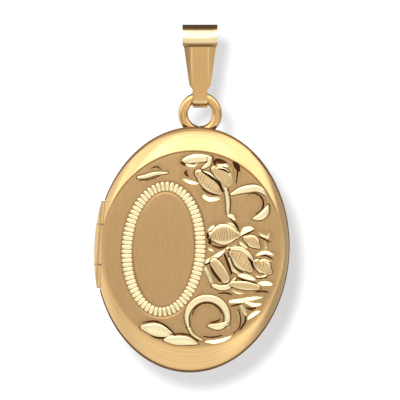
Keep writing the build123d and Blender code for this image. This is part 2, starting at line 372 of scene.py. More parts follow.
@dataclass(frozen=True)
class Engraving:
    """Floral spray of petals, leaves and scrolls down the right of the face, cut stroke by stroke."""

    dome_share: float = 0.28
    dome_limit: float = 0.11
    soft_edge: float = 0.03
    outline: float = 0.12
    halo: float = 0.4
    halo_shade: float = 0.17
    outline_depth: float = 0.05
    hatch_pitch: float = 0.19
    hatch_depth: float = 0.012
    bright_depth: float = 0.11
    bright_wall: float = 0.22
    line_depth: float = 0.07

    def top_flower(self) -> list[Stroke]:
        """Open flower under the case's top edge.

        Returns:
            The strokes, in the order they are cut.
        """
        return [
            Stroke(Cut.HATCHED, ((0.2, 6.2), (1.0, 5.6), (2.0, 4.7)), (0.35, 0.65, 0.15)),
            Stroke(Cut.PETAL, ((1.5, 6.6), (2.3, 6.0), (2.4, 5.1)), (0.35, 0.55, 0.2)),
            Stroke(Cut.RIM, ((-1.0, 7.15), (-0.3, 7.4), (1.0, 7.5)), (0.25, 0.36, 0.18)),
            Stroke(Cut.RIM, ((1.05, 7.45), (0.9, 7.0), (0.4, 6.6)), (0.17, 0.16, 0.06)),
            Stroke(Cut.BRIGHT, ((-0.9, 6.95), (-0.4, 6.8), (0.1, 7.05)), (0.12, 0.13, 0.06)),
            Stroke(Cut.LINE, ((-1.3, 7.0), (-0.95, 6.8)), (0.1, 0.15, 0.08)),
            Stroke(Cut.LINE, ((-0.75, 6.4), (-0.9, 6.15), (-0.65, 5.9)), (0.05, 0.13, 0.05)),
            Stroke(Cut.BRIGHT, ((-1.1, 5.7), (-0.5, 5.5), (0.2, 5.4)), (0.07, 0.19, 0.08)),
            Stroke(Cut.LINE, ((0.4, 6.4), (1.1, 6.0), (1.8, 5.5), (2.2, 4.8)), (0.05, 0.1, 0.07)),
            Stroke(Cut.BRIGHT, ((0.7, 4.4), (1.2, 4.2), (2.1, 4.3)), (0.2, 0.22, 0.05)),
            Stroke(Cut.LINE, ((0.5, 5.0), (1.0, 4.7), (1.75, 4.5)), (0.04, 0.1, 0.04)),
            Stroke(Cut.BRIGHT, ((1.5, 6.9), (2.1, 7.05), (2.6, 6.9)), (0.07, 0.18, 0.08)),
            Stroke(Cut.LINE, ((1.75, 6.65), (2.2, 6.6), (2.6, 6.4)), (0.04, 0.08, 0.04)),
            Stroke(Cut.BRIGHT, ((2.7, 6.8), (2.9, 6.1), (2.8, 5.3)), (0.06, 0.08, 0.06)),
            Stroke(Cut.LINE, ((1.4, 7.0), (1.55, 7.3), (2.4, 7.2)), (0.1, 0.22, 0.04)),
            Stroke(Cut.LINE, ((2.9, 7.3), (3.2, 7.0), (3.4, 6.6)), (0.08, 0.25, 0.12)),
        ]

    def small_scroll(self) -> list[Stroke]:
        """C scroll on the upper right and its stem.

        Returns:
            The strokes, in the order they are cut.
        """
        middle = (4.7, 4.0)
        return [
            Stroke(Cut.LINE, ((3.3, 7.1), (3.3, 6.3), (3.25, 5.4)), (0.06, 0.06, 0.04)),
            Stroke(Cut.RIM, ((2.4, 5.1), (2.65, 4.1), (2.7, 3.1)), (0.12, 0.16, 0.1)),
            Stroke(Cut.RIM, ((2.9, 4.65), (3.6, 5.0), *arc(middle, 1.27, 110, 35, 4)), (0.08, 0.3, 0.06)),
            Stroke(Cut.BRIGHT, arc(middle, 1.22, 35, -5, 3), (0.06, 0.06, 0.06)),
            Stroke(Cut.RIM, arc(middle, 1.22, -5, -85, 4), (0.08, 0.3, 0.06)),
            Stroke(Cut.LINE, arc(middle, 0.85, 120, -70), (0.03, 0.08, 0.04)),
            Stroke(Cut.BRIGHT, ((2.7, 3.0), (3.1, 2.85), (3.35, 2.6)), (0.06, 0.24, 0.05)),
            Stroke(Cut.BRIGHT, ((2.5, 2.3), (3.1, 2.2), (3.6, 1.8)), (0.07, 0.18, 0.1)),
        ]

    def middle_flowers(self) -> list[Stroke]:
        """Two flowers beside the cartouche, with their leaves.

        Returns:
            The strokes, in the order they are cut.
        """
        return [
            Stroke(Cut.HATCHED, ((1.5, 1.2), (2.5, 1.4), (3.5, 1.4)), (0.36, 0.85, 0.3)),
            Stroke(Cut.BRIGHT, ((1.2, 1.65), (1.4, 1.85), (1.7, 2.1)), (0.1, 0.16, 0.06)),
            Stroke(Cut.LINE, ((1.15, 1.4), (1.2, 1.0)), (0.06, 0.12, 0.06)),
            Stroke(Cut.LINE, ((2.9, 2.7), (3.35, 2.3), (3.7, 1.7)), (0.05, 0.12, 0.05)),
            Stroke(Cut.LINE, ((1.6, 0.42), (2.2, 0.28), (2.9, 0.45)), (0.06, 0.13, 0.05)),
            Stroke(Cut.BRIGHT, ((2.5, 0.15), (3.0, 0.4), (3.6, 0.62)), (0.06, 0.11, 0.05)),
            Stroke(Cut.LINE, ((1.35, 0.9), (1.4, 0.55)), (0.12, 0.16, 0.12)),
            Stroke(Cut.BRIGHT, ((1.25, 0.2), (1.55, 0.1), (1.8, -0.05)), (0.05, 0.13, 0.05)),
            Stroke(Cut.BRIGHT, ((3.8, 1.4), (4.2, 1.9), (4.9, 2.05)), (0.08, 0.3, 0.05)),
            Stroke(Cut.LINE, ((3.9, 1.35), (4.35, 1.55), (4.9, 1.85)), (0.05, 0.08, 0.03)),
            Stroke(Cut.PETAL, ((4.3, 1.15), (4.75, 1.0), (5.3, 0.55)), (0.24, 0.48, 0.18)),
            Stroke(Cut.BRIGHT, ((3.8, 0.9), (4.1, 0.6), (4.5, 0.4)), (0.08, 0.16, 0.06)),
            Stroke(Cut.BRIGHT, ((5.3, 1.7), (5.75, 1.45), (6.2, 1.4)), (0.06, 0.14, 0.08)),
            Stroke(Cut.BRIGHT, ((6.15, 1.7), (6.0, 1.4), (5.8, 1.1)), (0.06, 0.11, 0.05)),
            Stroke(Cut.LINE, ((5.3, 1.35), (5.75, 1.2), (6.15, 1.0)), (0.04, 0.1, 0.06)),
            Stroke(Cut.BRIGHT, ((5.8, 0.9), (5.9, 0.6), (5.85, 0.3)), (0.06, 0.12, 0.05)),
            Stroke(Cut.BRIGHT, ((5.2, -0.1), (5.9, 0.15), (6.7, -0.05)), (0.1, 0.18, 0.06)),
            Stroke(Cut.LINE, ((5.6, -0.2), (6.0, -0.15), (6.55, -0.4)), (0.04, 0.08, 0.05)),
            Stroke(Cut.HATCHED, ((3.4, -0.1), (4.0, -0.55), (4.75, -1.35)), (0.42, 0.72, 0.24)),
            Stroke(Cut.RIM, ((3.15, 0.3), (3.9, 0.3), (4.5, -0.05), (5.0, -0.65)), (0.13, 0.16, 0.06)),
            Stroke(Cut.RIM, ((3.0, -0.55), (3.3, -1.35), (3.95, -1.8)), (0.1, 0.13, 0.08)),
            Stroke(Cut.LINE, ((3.35, -1.05), (3.75, -1.4), (4.25, -1.65)), (0.03, 0.08, 0.03)),
            Stroke(Cut.BRIGHT, ((3.85, -1.8), (4.55, -1.9), (5.2, -2.1)), (0.12, 0.25, 0.1)),
            Stroke(Cut.LINE, ((3.75, -2.05), (4.5, -2.3), (5.25, -2.4)), (0.05, 0.11, 0.05)),
            Stroke(Cut.LINE, ((4.55, -0.4), (4.85, -0.75), (5.05, -1.3)), (0.04, 0.11, 0.05)),
            Stroke(Cut.HATCHED, ((5.3, -0.8), (5.9, -1.1), (6.3, -1.45)), (0.36, 0.56, 0.24)),
            Stroke(Cut.BRIGHT, ((5.15, -0.8), (5.8, -0.5), (6.5, -0.6)), (0.06, 0.13, 0.05)),
            Stroke(Cut.BRIGHT, ((5.2, -1.7), (5.65, -1.9), (6.25, -1.55)), (0.06, 0.13, 0.05)),
            Stroke(Cut.LINE, ((5.3, -2.05), (5.75, -2.0), (6.2, -1.85)), (0.04, 0.08, 0.04)),
            Stroke(Cut.BRIGHT, ((5.4, -2.45), (6.1, -2.35), (6.75, -2.45)), (0.08, 0.24, 0.04)),
        ]

    def lower_flower(self) -> list[Stroke]:
        """Square petal and bands below the middle flowers.

        Returns:
            The strokes, in the order they are cut.
        """
        return [
            Stroke(Cut.BRIGHT, ((1.1, -0.9), (1.8, -0.5), (2.7, 0.2)), (0.17, 0.22, 0.05)),
            Stroke(Cut.LINE, ((1.15, -1.15), (1.8, -0.78), (2.4, -0.4)), (0.1, 0.08, 0.03)),
            Stroke(Cut.PETAL, ((1.85, -0.95), (2.3, -1.5), (2.8, -2.2)), (0.37, 0.42, 0.35)),
            Stroke(Cut.LINE, ((1.55, -1.3), (1.9, -1.85), (2.4, -2.4)), (0.08, 0.14, 0.12)),
            Stroke(Cut.LINE, ((2.6, -0.2), (3.0, -1.1), (3.3, -1.85)), (0.08, 0.13, 0.08)),
            Stroke(Cut.BRIGHT, ((1.0, -1.2), (1.35, -1.75), (1.85, -2.7)), (0.11, 0.19, 0.1)),
            Stroke(Cut.RIM, ((1.85, -2.8), (2.45, -2.95), (3.1, -2.8), (3.6, -2.1)), (0.14, 0.2, 0.07)),
            Stroke(Cut.PETAL, ((3.45, -2.6), (4.35, -2.65), (5.45, -2.75)), (0.22, 0.36, 0.2)),
            Stroke(Cut.BRIGHT, ((3.25, -3.0), (3.85, -3.25), (4.5, -3.3)), (0.05, 0.11, 0.05)),
        ]

    def sprigs(self) -> list[Stroke]:
        """Small leaves at the lower right.

        Returns:
            The strokes, in the order they are cut.
        """
        return [
            Stroke(Cut.BRIGHT, ((3.3, -4.0), (4.2, -3.85), (5.05, -3.65), (5.9, -3.5)), (0.16, 0.22, 0.08)),
            Stroke(Cut.BRIGHT, ((4.2, -4.3), (4.45, -4.65), (4.7, -5.05)), (0.12, 0.2, 0.07)),
            Stroke(Cut.BRIGHT, ((4.8, -5.3), (5.25, -4.9), (5.8, -4.6)), (0.11, 0.2, 0.06)),
            Stroke(Cut.BRIGHT, ((4.5, -3.95), (5.2, -4.15), (5.85, -4.05)), (0.1, 0.2, 0.08)),
            Stroke(Cut.LINE, ((4.65, -4.45), (5.05, -4.55), (5.4, -4.4)), (0.08, 0.14, 0.06)),
            Stroke(Cut.LINE, ((2.3, -3.42), (2.9, -3.35), (3.5, -3.5)), (0.04, 0.09, 0.04)),
            Stroke(Cut.LINE, ((3.4, -4.4), (3.9, -4.25), (4.2, -4.15)), (0.05, 0.1, 0.05)),
            Stroke(Cut.LINE, ((5.3, -3.15), (5.8, -3.05), (6.3, -3.1)), (0.05, 0.1, 0.05)),
            Stroke(Cut.BRIGHT, ((3.9, -4.75), (4.05, -5.2), (4.1, -5.6)), (0.05, 0.1, 0.04)),
            Stroke(Cut.LINE, ((4.6, -5.15), (4.6, -5.6), (4.2, -6.3)), (0.06, 0.1, 0.05)),
            Stroke(Cut.LINE, ((3.7, -6.6), (4.15, -6.1), (4.2, -5.35), (4.0, -4.6)), (0.04, 0.06, 0.04)),
        ]

    def large_scroll(self) -> list[Stroke]:
        """Spiral scroll below the cartouche and the crescent under it.

        Returns:
            The strokes, in the order they are cut.
        """
        middle = (1.5, -5.5)
        return [
            Stroke(Cut.RIM, ((1.2, -7.3), (0.45, -6.9), (0.05, -6.3)), (0.06, 0.09, 0.12)),
            Stroke(Cut.RIM, arc(middle, 1.66, 205, -12, 9), (0.11, 0.27, 0.2)),
            Stroke(Cut.RIM, ((3.05, -5.8), (2.5, -6.1), (1.65, -6.1)), (0.14, 0.26, 0.07)),
            Stroke(Cut.LINE, arc(middle, 1.27, 170, 20), (0.03, 0.1, 0.04)),
            Stroke(Cut.LINE, ((1.75, -5.8), (2.2, -5.72), (2.6, -5.5)), (0.03, 0.1, 0.04)),
            Stroke(Cut.BRIGHT, ((1.5, -7.35), (2.3, -7.3), (3.1, -7.05), (3.6, -6.7)), (0.1, 0.22, 0.06)),
            Stroke(Cut.LINE, ((1.2, -6.95), (1.95, -7.0), (2.8, -6.8)), (0.04, 0.07, 0.04)),
        ]

    def leaves(self) -> list[Stroke]:
        """Two lying leaves at the bottom and a lone tendril at the upper left.

        Returns:
            The strokes, in the order they are cut.
        """
        return [
            Stroke(Cut.RIM, ((-3.65, -6.5), (-2.8, -6.6), (-1.95, -6.8), (-1.1, -7.1)), (0.2, 0.52, 0.03)),
            Stroke(Cut.LINE, ((-3.7, -6.1), (-2.7, -5.95), (-1.8, -6.3), (-1.0, -6.95)), (0.04, 0.09, 0.05)),
            Stroke(Cut.LINE, ((-2.9, -7.2), (-2.3, -7.3), (-1.5, -7.25)), (0.05, 0.1, 0.04)),
            Stroke(Cut.RIM, ((-1.8, -7.4), (-0.95, -7.4), (-0.1, -7.4), (0.85, -7.6)), (0.14, 0.4, 0.03)),
            Stroke(Cut.LINE, ((-1.4, -6.95), (-0.55, -6.85), (0.2, -6.95), (0.9, -7.4)), (0.04, 0.08, 0.06)),
            Stroke(Cut.RIM, ((-4.7, 5.6), (-4.2, 5.7), (-3.3, 6.0), (-2.4, 6.1)), (0.1, 0.15, 0.05)),
            Stroke(Cut.LINE, ((-4.6, 5.38), (-3.85, 5.48), (-3.0, 5.8)), (0.03, 0.06, 0.03)),
            Stroke(Cut.LINE, ((-3.7, 6.4), (-3.25, 6.55), (-2.85, 6.35)), (0.03, 0.06, 0.03)),
        ]

    def strokes(self) -> list[Stroke]:
        """Every stroke, in the order it is cut.

        Returns:
            All strokes.
        """
        groups = (
            self.top_flower, self.small_scroll, self.middle_flowers, self.lower_flower,
            self.sprigs, self.large_scroll, self.leaves,
        )
        return [stroke for group in groups for stroke in group()]

    def apply(self, spots: np.ndarray) -> tuple[np.ndarray, np.ndarray]:
        """Depth and tone that the strokes give to spots on the face.

        Args:
            spots: Positions on the case's face, one row each.

        Returns:
            Height change in millimetres, and a row of painted highlight, painted shade and satin shares for
            each spot.
        """
        height = np.zeros(len(spots))
        tone = np.zeros((len(spots), 3))
        tone[:, Tone.SATIN] = 1
        for stroke in self.strokes():
            path = stroke.path()
            reach = max(stroke.widths) + self.halo + self.outline
            near = np.all((spots > path.min(axis=0) - reach) & (spots < path.max(axis=0) + reach), axis=1)
            if near.any():
                height[near], tone[near] = self.cut(stroke, spots[near], height[near], tone[near])
        return height, tone

    def cut(
        self, stroke: Stroke, spots: np.ndarray, height: np.ndarray, tone: np.ndarray
    ) -> tuple[np.ndarray, np.ndarray]:
        """Cuts one stroke into the spots near it.

        Args:
            stroke: The stroke.
            spots: Positions on the case's face, one row each.
            height: Their height changes so far.
            tone: Their painted highlight, painted shade and satin shares so far.

        Returns:
            The new height changes and shares.
        """
        across, along, width = stroke.measure(spots)
        apart = np.abs(across)
        path = stroke.path()
        run = path[-1] - path[0]
        # ramp rises across the stroke towards its lower right side, where the painted shade lies heavier.
        lower = -np.sign(run[0] + 0.25 * run[1] + 1e-6)
        ramp = 0.5 + 0.5 * np.clip(across * lower, -1, 1)
        crest = np.minimum(self.dome_limit, self.dome_share * width)
        inside = np.clip((1 - apart) * width / self.soft_edge, 0, 1)
        dome = np.sqrt(np.clip(1 - apart**2, 0, 1))
        beyond = (apart - 1) * width
        groove = np.clip(1 - np.abs(beyond / self.outline - 0.45) / 0.55, 0, 1)
        # A halo of painted shade on the satin round the stroke.
        halo = self.halo_shade * np.clip(1 - beyond / self.halo, 0, 1)
        # bright is this stroke's painted highlight and dark its painted shade.
        bright = np.zeros(len(spots))
        dark = np.zeros(len(spots))
        satin = np.zeros(len(spots))
        if stroke.cut in (Cut.PETAL, Cut.HATCHED):
            shape = crest * dome
            # Painted highlight, strongest along the petal's rim.
            bright = 0.2 + 0.8 * np.clip((apart - 0.6) / 0.2, 0, 1)
            satin = 0.7 * (1 - bright)
            if stroke.cut is Cut.HATCHED:
                wave = np.sin(tau * along / self.hatch_pitch + 2.6 * across + 1.5 * np.sin(7 * along))
                veins = np.clip(1.2 - apart, 0, 1)
                shape = shape + self.hatch_depth * wave * veins
                # The hatching is painted as alternating highlight and shade lines.
                bright = np.clip(bright + 0.3 * wave * veins, 0, 1)
                dark = np.clip(-0.4 * wave * veins - 0.1, 0, 1)
        elif stroke.cut is Cut.RIM:
            shape = crest * dome
            # Painted highlight over the band, painted shade along its lower side.
            bright += 1
            dark = 0.15 * np.clip((ramp - 0.7) / 0.3, 0, 1)
        elif stroke.cut is Cut.BRIGHT:
            wall = self.bright_wall
            slant = np.where(ramp < wall, ramp / wall, (1 - ramp) / (1 - wall))
            shape = -self.bright_depth * np.clip(slant, 0, 1)
            # Painted highlight in the cut, painted shade on its steep wall.
            bright += 1
            dark += np.clip(1.2 - ramp / 0.2, 0, 1)
        else:
            shape = -self.line_depth * (1 - apart)
            # The groove is filled with painted shade.
            dark += 1
            groove = groove * 0
        height = height * (1 - inside) + shape * inside
        tone[:, Tone.DARK] = np.maximum(tone[:, Tone.DARK], halo)
        if stroke.cut is not Cut.LINE:
            strength = 0.35 if stroke.cut is Cut.BRIGHT else 1.0
            height = height - strength * self.outline_depth * groove
            # Painted shade in the outline groove, heavier on the stroke's lower side.
            shaded = strength * (0.5 + 0.5 * ramp)
            tone[:, Tone.DARK] = np.maximum(tone[:, Tone.DARK], shaded * groove)
        fresh = np.stack([bright, dark, satin], axis=1)
        tone = tone * (1 - inside[:, None]) + fresh * inside[:, None]
        return height, tone


# ---------------------------------------------------------------- finishes
class Nodes:
    """Short-hand for wiring one node tree."""

    def __init__(self, tree: bpy.types.NodeTree) -> None:
        """Keeps the tree that nodes are added to.

        Args:
            tree: The node tree.
        """
        self.tree = tree

    def add(self, kind: str, **settings: object) -> bpy.types.Node:
        """Adds a node and sets its properties.

        Args:
            kind: The node's type.
            **settings: The node's properties by name.

        Returns:
            The new node.
        """
        node = self.tree.nodes.new(kind)
        for name, value in settings.items():
            setattr(node, name, value)
        return node

    def link(self, source: bpy.types.NodeSocket, target: bpy.types.NodeSocket) -> None:
        """Links two sockets.

        Args:
            source: The socket that gives.
            target: The socket that takes.
        """
        self.tree.links.new(source, target)

    def fill(self, socket: bpy.types.NodeSocket, value: object) -> None:
        """Links a socket to a socket, or sets it to a plain value.

        Args:
            socket: The socket that takes.
            value: A socket that gives, or the plain value.
        """
        if isinstance(value, bpy.types.NodeSocket):
            self.link(value, socket)
        else:
            socket.default_value = value

    def math(
        self, operation: str, first: object, second: object = 0.0, clamp: bool = False
    ) -> bpy.types.NodeSocket:
        """Result of a math node.

        Args:
            operation: The operation.
            first: Its first input.
            second: Its second input.
            clamp: Whether the result is kept between 0 and 1.

        Returns:
            The output socket.
        """
        node = self.add("ShaderNodeMath", operation=operation, use_clamp=clamp)
        self.fill(node.inputs[0], first)
        self.fill(node.inputs[1], second)
        return node.outputs[0]

    def blend(self, share: object, first: object, second: object) -> bpy.types.NodeSocket:
        """Colour between two colours.

        Args:
            share: How far the colour lies towards the second.
            first: The first colour.
            second: The second colour.

        Returns:
            The output socket.
        """
        node = self.add("ShaderNodeMix", data_type="RGBA")
        self.fill(node.inputs["Factor"], share)
        self.fill(node.inputs["A"], first)
        self.fill(node.inputs["B"], second)
        return node.outputs["Result"]

    def between(self, share: object, low: object, high: object) -> bpy.types.NodeSocket:
        """Value between two values.

        Args:
            share: How far the value lies towards the high one.
            low: The low value.
            high: The high value.

        Returns:
            The output socket.
        """
        node = self.add("ShaderNodeMix", data_type="FLOAT")
        self.fill(node.inputs["Factor"], share)
        self.fill(node.inputs["A"], low)
        self.fill(node.inputs["B"], high)
        return node.outputs["Result"]

    def noise(
        self, scale: object, detail: float, stretch: tuple[float, float, float] = (1.0, 1.0, 1.0)
    ) -> bpy.types.NodeSocket:
        """Noise on the piece's own coordinates, stretched along the axes.

        Args:
            scale: How fine the noise is.
            detail: How many octaves it has.
            stretch: How much it is squeezed along each axis.

        Returns:
            The output socket.
        """
        place = self.add("ShaderNodeTexCoord")
        mapping = self.add("ShaderNodeMapping")
        mapping.inputs["Scale"].default_value = stretch
        texture = self.add("ShaderNodeTexNoise")
        texture.inputs["Detail"].default_value = detail
        self.fill(texture.inputs["Scale"], scale)
        self.link(place.outputs["Object"], mapping.inputs["Vector"])
        self.link(mapping.outputs["Vector"], texture.inputs["Vector"])
        return texture.outputs["Fac"]


def new_material(name: str) -> tuple[bpy.types.Material, Nodes, bpy.types.Node]:
    """Starts a material on its principled shader.

    Args:
        name: The material's name.

    Returns:
        The material, its nodes and the shader.
    """
    material = bpy.data.materials.new(name)
    material.use_nodes = True
    return material, Nodes(material.node_tree), material.node_tree.nodes["Principled BSDF"]


def new_group(name: str, inputs: dict[str, float], outputs: tuple[str, ...]) -> tuple[Nodes, dict, dict]:
    """Starts a shader node group of plain values.

    Args:
        name: The group's name.
        inputs: Its inputs with their usual values.
        outputs: Names of its outputs.

    Returns:
        The wiring short-hand, the inner sockets of the inputs, and those of the outputs.
    """
    tree = bpy.data.node_groups.new(name, "ShaderNodeTree")
    for label, value in inputs.items():
        socket = tree.interface.new_socket(label, in_out="INPUT", socket_type="NodeSocketFloat")
        socket.default_value = value
    for label in outputs:
        tree.interface.new_socket(label, in_out="OUTPUT", socket_type="NodeSocketFloat")
    nodes = Nodes(tree)
    entry = nodes.add("NodeGroupInput")
    leave = nodes.add("NodeGroupOutput")
    return (
        nodes,
        {label: entry.outputs[label] for label in inputs},
        {label: leave.inputs[label] for label in outputs},
    )


def satin_grain() -> bpy.types.NodeTree:
    """Group: fine upright brushing with a random grain, as height and as roughness share.

    Returns:
        The group's node tree.
    """
    nodes, inputs, outputs = new_group("satin_grain", {"Scale": 9000.0}, ("Height", "Share"))
    brushing = nodes.noise(inputs["Scale"], 2.0, (1.0, 1.0, 0.12))
    grain = nodes.noise(nodes.math("MULTIPLY", inputs["Scale"], 2.2), 1.0)
    mixed = nodes.math("ADD", nodes.math("MULTIPLY", brushing, 0.6), nodes.math("MULTIPLY", grain, 0.4))
    nodes.link(mixed, outputs["Height"])
    nodes.link(mixed, outputs["Share"])
    return nodes.tree


def handling_marks() -> bpy.types.NodeTree:
    """Group: hairline scratches and cloudy handling, as two masks and a height.

    Returns:
        The group's node tree.
    """
    nodes, inputs, outputs = new_group("handling_marks", {"Scale": 1500.0}, ("Scratches", "Cloud", "Height"))
    first = nodes.noise(inputs["Scale"], 3.0, (1.0, 1.0, 0.06))
    second = nodes.noise(inputs["Scale"], 3.0, (0.08, 0.6, 1.0))
    lines = []
    for pattern in (first, second):
        ridge = nodes.math("ABSOLUTE", nodes.math("SUBTRACT", pattern, 0.5))
        lines.append(nodes.math("SUBTRACT", 1.0, nodes.math("MULTIPLY", ridge, 34.0), clamp=True))
    scratches = nodes.math("MAXIMUM", lines[0], lines[1])
    cloud = nodes.noise(nodes.math("MULTIPLY", inputs["Scale"], 0.25), 3.0)
    nodes.link(scratches, outputs["Scratches"])
    nodes.link(cloud, outputs["Cloud"])
    nodes.link(nodes.math("MULTIPLY", scratches, -1.0), outputs["Height"])
    return nodes.tree


@dataclass(frozen=True)
class GoldFinish:
    """A gold alloy surface, polished or satin, into whose colour the tone attribute paints highlights and
    shade.
    """

    name: str
    colour: tuple[float, float, float]
    satin_colour: tuple[float, float, float] = (0.53, 0.335, 0.15)
    # Colours of the painted highlight and the painted shade, laid on by the tone attribute's first two
    # channels.
    highlight_colour: tuple[float, float, float] = (1.0, 0.87, 0.52)
    shade_colour: tuple[float, float, float] = (0.075, 0.025, 0.007)
    polish: float = 0.13
    rubbing: float = 0.1
    satin: float = 0.42
    brushing: tuple[float, float] = (-0.08, 0.1)
    grain_shades: tuple[float, float] = (0.8, 1.2)
    cloud_shade: float = 0.9
    marks: float = 0.05
    relief: float = 0.6
    relief_depth: float = 0.012

    def material(self, groups: dict[str, bpy.types.NodeTree]) -> bpy.types.Material:
        """Builds the material from the shared groups.

        Args:
            groups: The shared node groups.

        Returns:
            The material.
        """
        material, nodes, shader = new_material(self.name)
        shader.inputs["Metallic"].default_value = 1.0
        tone = nodes.add("ShaderNodeAttribute", attribute_name="tone")
        parts = nodes.add("ShaderNodeSeparateColor")
        nodes.link(tone.outputs["Color"], parts.inputs["Color"])
        bright, dark, satin = (parts.outputs[index] for index in range(3))
        grain = nodes.add("ShaderNodeGroup", node_tree=groups["satin_grain"])
        marks = nodes.add("ShaderNodeGroup", node_tree=groups["handling_marks"])
        cloudy = tuple(self.cloud_shade * channel for channel in self.colour)
        alloy = nodes.blend(marks.outputs["Cloud"], (*cloudy, 1.0), (*self.colour, 1.0))
        dull, light = (tuple(shade * channel for channel in self.satin_colour) for shade in self.grain_shades)
        frosted = nodes.blend(grain.outputs["Share"], (*dull, 1.0), (*light, 1.0))
        ground = nodes.blend(satin, alloy, frosted)
        # Painted highlight, then painted shade, over the metal's own colour.
        highlighted = nodes.blend(bright, ground, (*self.highlight_colour, 1.0))
        shade_painted = nodes.blend(dark, highlighted, (*self.shade_colour, 1.0))
        nodes.link(shade_painted, shader.inputs["Base Color"])
        rubbed = nodes.between(marks.outputs["Scratches"], self.polish, self.polish + self.rubbing)
        smooth, rough = (self.satin + step for step in self.brushing)
        brushed = nodes.between(grain.outputs["Share"], smooth, rough)
        nodes.link(nodes.between(satin, rubbed, brushed), shader.inputs["Roughness"])
        depth = nodes.between(
            satin, nodes.math("MULTIPLY", marks.outputs["Height"], self.marks), grain.outputs["Height"]
        )
        bump = nodes.add("ShaderNodeBump")
        bump.inputs["Strength"].default_value = self.relief
        bump.inputs["Distance"].default_value = self.relief_depth * MM
        nodes.link(depth, bump.inputs["Height"])
        nodes.link(bump.outputs["Normal"], shader.inputs["Normal"])
        return material


@dataclass(frozen=True)
class AcetateFinish:
    """Clear acetate sheet with faint rubbing."""

    name: str = "clear_acetate"

    def material(self, groups: dict[str, bpy.types.NodeTree]) -> bpy.types.Material:
        """Builds the material from the shared groups.

        Args:
            groups: The shared node groups.

        Returns:
            The material.
        """
        material, nodes, shader = new_material(self.name)
        shader.inputs["Transmission Weight"].default_value = 1.0
        shader.inputs["IOR"].default_value = 1.48
        marks = nodes.add("ShaderNodeGroup", node_tree=groups["handling_marks"])
        nodes.link(
            nodes.blend(marks.outputs["Cloud"], (0.93, 0.95, 0.93, 1), (0.98, 0.99, 0.99, 1)),
            shader.inputs["Base Color"],
        )
        nodes.link(nodes.between(marks.outputs["Scratches"], 0.02, 0.12), shader.inputs["Roughness"])
        return material


@dataclass(frozen=True)
class CardFinish:
    """Blank ivory card with a paper tooth."""

    name: str = "ivory_card"

    def material(self, groups: dict[str, bpy.types.NodeTree]) -> bpy.types.Material:
        """Builds the material from the shared groups.

        Args:
            groups: The shared node groups.

        Returns:
            The material.
        """
        material, nodes, shader = new_material(self.name)
        tooth = nodes.noise(14000.0, 4.0)
        marks = nodes.add("ShaderNodeGroup", node_tree=groups["handling_marks"])
        aged = nodes.blend(marks.outputs["Cloud"], (0.74, 0.67, 0.52, 1), (0.84, 0.79, 0.66, 1))
        nodes.link(nodes.blend(tooth, aged, (0.86, 0.82, 0.72, 1)), shader.inputs["Base Color"])
        nodes.link(nodes.between(tooth, 0.7, 0.9), shader.inputs["Roughness"])
        bump = nodes.add("ShaderNodeBump")
        bump.inputs["Strength"].default_value = 0.4
        bump.inputs["Distance"].default_value = 0.02 * MM
        nodes.link(tooth, bump.inputs["Height"])
        nodes.link(bump.outputs["Normal"], shader.inputs["Normal"])
        return material


class Finishes:
    """Every finish of the locket, built once."""

    def __init__(self) -> None:
        """Builds the shared groups and the materials."""
        groups = {"satin_grain": satin_grain(), "handling_marks": handling_marks()}
        self.satin = GoldFinish("engraved_satin_gold", (0.86, 0.55, 0.235), polish=0.16).material(groups)
        self.polished = GoldFinish("polished_gold", (0.82, 0.508, 0.21)).material(groups)
        inner = GoldFinish("plain_inner_gold", (0.86, 0.55, 0.24), polish=0.2, marks=0.03)
        self.inner = inner.material(groups)
        self.acetate = AcetateFinish().material(groups)
        self.card = CardFinish().material(groups)


